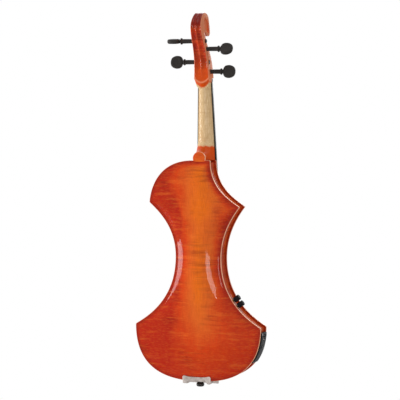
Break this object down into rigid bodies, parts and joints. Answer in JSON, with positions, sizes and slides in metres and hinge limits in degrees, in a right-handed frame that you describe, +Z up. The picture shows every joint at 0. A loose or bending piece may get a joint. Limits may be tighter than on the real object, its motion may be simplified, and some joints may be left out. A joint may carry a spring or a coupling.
{
  "type": "electric violin",
  "caption": "Hollow-bodied electric violin with a cutaway, hook-shaped head, pegs, fine tuners, chin rest and a battery-powered preamp in its ribs.",
  "frame": {"origin": "middle of the end button's flat tip", "axes": "+Z up the centre line to the head, +Y towards the back, -Y the side of the strings, +X the treble side"},
  "size_m": [0.2137, 0.1066, 0.6063],
  "materials": {
    "back_varnish": "flamed maple, amber to red varnish, glossy",
    "top_varnish": "spruce, amber to red varnish, glossy",
    "rib_varnish": "red-brown varnish, glossy",
    "neck_varnish": "bare and varnished maple, satin",
    "bare_spruce": "bare, sawn",
    "bare_maple": "bare, smooth",
    "ebony": "black, satin",
    "string_steel": "wound steel",
    "nickel": "plated, bright",
    "tail_cord": "black nylon",
    "black_plastic": "black, fine satin",
    "battery_case": "plain dark jacket",
    "circuit_board": "green board"
  },
  "bodies": {
    "violin": {"back_plate": "back_varnish", "top_plate": "top_varnish", "rib_lower": "rib_varnish", "rib_waist_treble": "rib_varnish", "rib_upper": "rib_varnish", "rib_cutaway": "rib_varnish", "rib_waist_bass": "rib_varnish", "lining_back": "bare_spruce", "lining_top": "bare_spruce", "neck_block": "bare_spruce", "end_block": "bare_spruce", "corner_block_treble_lower": "bare_spruce", "corner_block_treble_upper": "bare_spruce", "corner_block_bass_upper": "bare_spruce", "corner_block_bass_lower": "bare_spruce", "sound_post": "bare_spruce", "bass_bar": "bare_spruce", "neck": "neck_varnish", "fingerboard": "ebony", "nut": "ebony", "string_G": "string_steel", "string_D": "string_steel", "string_A": "string_steel", "string_E": "string_steel", "bridge": "bare_maple", "bridge_pickup": "black_plastic", "pickup_lead": "black_plastic", "tailpiece": "ebony", "tail_gut": "tail_cord", "saddle": "ebony", "end_button": "ebony", "chin_rest": "ebony", "clamp_bracket": "nickel", "electronics_panel": "black_plastic", "battery": "battery_case", "output_jack": "black_plastic", "preamp_board": "circuit_board"},
    "peg_G": {"peg_G": "ebony"},
    "peg_D": {"peg_D": "ebony"},
    "peg_A": {"peg_A": "ebony"},
    "peg_E": {"peg_E": "ebony"},
    "tuner_lever_G": {"tuner_lever_G": "nickel"},
    "tuner_lever_D": {"tuner_lever_D": "nickel"},
    "tuner_lever_A": {"tuner_lever_A": "nickel"},
    "tuner_lever_E": {"tuner_lever_E": "nickel"},
    "tuner_screw_G": {"tuner_screw_G": "nickel"},
    "tuner_screw_D": {"tuner_screw_D": "nickel"},
    "tuner_screw_A": {"tuner_screw_A": "nickel"},
    "tuner_screw_E": {"tuner_screw_E": "nickel"},
    "tuner_knob_G": {"tuner_knob_G": "nickel"},
    "tuner_knob_D": {"tuner_knob_D": "nickel"},
    "tuner_knob_A": {"tuner_knob_A": "nickel"},
    "tuner_knob_E": {"tuner_knob_E": "nickel"},
    "clamp_barrel_bass": {"clamp_barrel_bass": "nickel"},
    "clamp_barrel_treble": {"clamp_barrel_treble": "nickel"},
    "clamp_foot": {"clamp_foot": "nickel"},
    "battery_door": {"battery_door": "black_plastic"},
    "volume_knob": {"volume_knob": "black_plastic"},
    "tone_knob": {"tone_knob": "black_plastic"}
  },
  "joints": [
    {"name": "peg_G_turn", "type": "hinge", "parent": "violin", "child": "peg_G", "pos_m": [0, -0.002, 0.51285], "axis": [-1, 0, 0], "range_deg": [-990, 90]},
    {"name": "peg_D_turn", "type": "hinge", "parent": "violin", "child": "peg_D", "pos_m": [0, 0.01438, 0.54848], "axis": [-1, 0, 0], "range_deg": [-990, 90]},
    {"name": "peg_A_turn", "type": "hinge", "parent": "violin", "child": "peg_A", "pos_m": [0, 0.02038, 0.56072], "axis": [-1, 0, 0], "range_deg": [-990, 90]},
    {"name": "peg_E_turn", "type": "hinge", "parent": "violin", "child": "peg_E", "pos_m": [0, 0.0037, 0.52804], "axis": [-1, 0, 0], "range_deg": [-990, 90]},
    {"name": "tuner_screw_G_travel", "type": "slide", "parent": "violin", "child": "tuner_screw_G", "axis": [0, -0.9803, -0.1973], "range_m": [0, 0.003]},
    {"name": "tuner_knob_G_turn", "type": "hinge", "parent": "tuner_screw_G", "child": "tuner_knob_G", "pos_m": [-0.0135, -0.0418, 0.08662], "axis": [0, -0.9803, -0.1973], "range_deg": [0, 2400]},
    {"name": "tuner_lever_G_tilt", "type": "hinge", "parent": "violin", "child": "tuner_lever_G", "pos_m": [-0.0135, -0.04374, 0.10591], "axis": [1, 0, 0], "range_deg": [-9, 0]},
    {"name": "tuner_screw_D_travel", "type": "slide", "parent": "violin", "child": "tuner_screw_D", "axis": [0, -0.9803, -0.1973], "range_m": [0, 0.003]},
    {"name": "tuner_knob_D_turn", "type": "hinge", "parent": "tuner_screw_D", "child": "tuner_knob_D", "pos_m": [-0.0045, -0.04375, 0.08622], "axis": [0, -0.9803, -0.1973], "range_deg": [0, 2400]},
    {"name": "tuner_lever_D_tilt", "type": "hinge", "parent": "violin", "child": "tuner_lever_D", "pos_m": [-0.0045, -0.04569, 0.10552], "axis": [1, 0, 0], "range_deg": [-9, 0]},
    {"name": "tuner_screw_A_travel", "type": "slide", "parent": "violin", "child": "tuner_screw_A", "axis": [0, -0.9803, -0.1973], "range_m": [0, 0.003]},
    {"name": "tuner_knob_A_turn", "type": "hinge", "parent": "tuner_screw_A", "child": "tuner_knob_A", "pos_m": [0.0045, -0.04375, 0.08622], "axis": [0, -0.9803, -0.1973], "range_deg": [0, 2400]},
    {"name": "tuner_lever_A_tilt", "type": "hinge", "parent": "violin", "child": "tuner_lever_A", "pos_m": [0.0045, -0.04569, 0.10552], "axis": [1, 0, 0], "range_deg": [-9, 0]},
    {"name": "tuner_screw_E_travel", "type": "slide", "parent": "violin", "child": "tuner_screw_E", "axis": [0, -0.9803, -0.1973], "range_m": [0, 0.003]},
    {"name": "tuner_knob_E_turn", "type": "hinge", "parent": "tuner_screw_E", "child": "tuner_knob_E", "pos_m": [0.0135, -0.0418, 0.08662], "axis": [0, -0.9803, -0.1973], "range_deg": [0, 2400]},
    {"name": "tuner_lever_E_tilt", "type": "hinge", "parent": "violin", "child": "tuner_lever_E", "pos_m": [0.0135, -0.04374, 0.10591], "axis": [1, 0, 0], "range_deg": [-9, 0]},
    {"name": "clamp_barrel_treble_turn", "type": "hinge", "parent": "violin", "child": "clamp_barrel_treble", "pos_m": [0.019, 0, 0.0093], "axis": [0, 1, 0], "range_deg": [0, 1350]},
    {"name": "clamp_barrel_bass_turn", "type": "hinge", "parent": "violin", "child": "clamp_barrel_bass", "pos_m": [-0.019, 0, 0.0093], "axis": [0, 1, 0], "range_deg": [0, 1350]},
    {"name": "clamp_foot_travel", "type": "slide", "parent": "violin", "child": "clamp_foot", "axis": [0, 1, 0], "range_m": [0, 0.006]},
    {"name": "battery_door_hinge", "type": "hinge", "parent": "violin", "child": "battery_door", "pos_m": [-0.09223, 0, 0.04572], "axis": [0, -1, 0], "range_deg": [0, 90]},
    {"name": "volume_knob_turn", "type": "hinge", "parent": "violin", "child": "volume_knob", "pos_m": [-0.05664, 0, 0.14328], "axis": [-0.808, 0, 0.5892], "range_deg": [-150, 150]},
    {"name": "tone_knob_turn", "type": "hinge", "parent": "violin", "child": "tone_knob", "pos_m": [-0.06312, 0, 0.13439], "axis": [-0.808, 0, 0.5892], "range_deg": [-150, 150]}
  ],
  "couplings": [
    {"joint": "tuner_knob_G_turn", "follows": "tuner_screw_G_travel", "rad_per_m": 13963},
    {"joint": "tuner_lever_G_tilt", "follows": "tuner_screw_G_travel", "rad_per_m": -51.8},
    {"joint": "tuner_knob_D_turn", "follows": "tuner_screw_D_travel", "rad_per_m": 13963},
    {"joint": "tuner_lever_D_tilt", "follows": "tuner_screw_D_travel", "rad_per_m": -51.8},
    {"joint": "tuner_knob_A_turn", "follows": "tuner_screw_A_travel", "rad_per_m": 13963},
    {"joint": "tuner_lever_A_tilt", "follows": "tuner_screw_A_travel", "rad_per_m": -51.8},
    {"joint": "tuner_knob_E_turn", "follows": "tuner_screw_E_travel", "rad_per_m": 13963},
    {"joint": "tuner_lever_E_tilt", "follows": "tuner_screw_E_travel", "rad_per_m": -51.8},
    {"joint": "clamp_barrel_treble_turn", "follows": "clamp_foot_travel", "rad_per_m": 3927},
    {"joint": "clamp_barrel_bass_turn", "follows": "clamp_foot_travel", "rad_per_m": 3927}
  ]
}
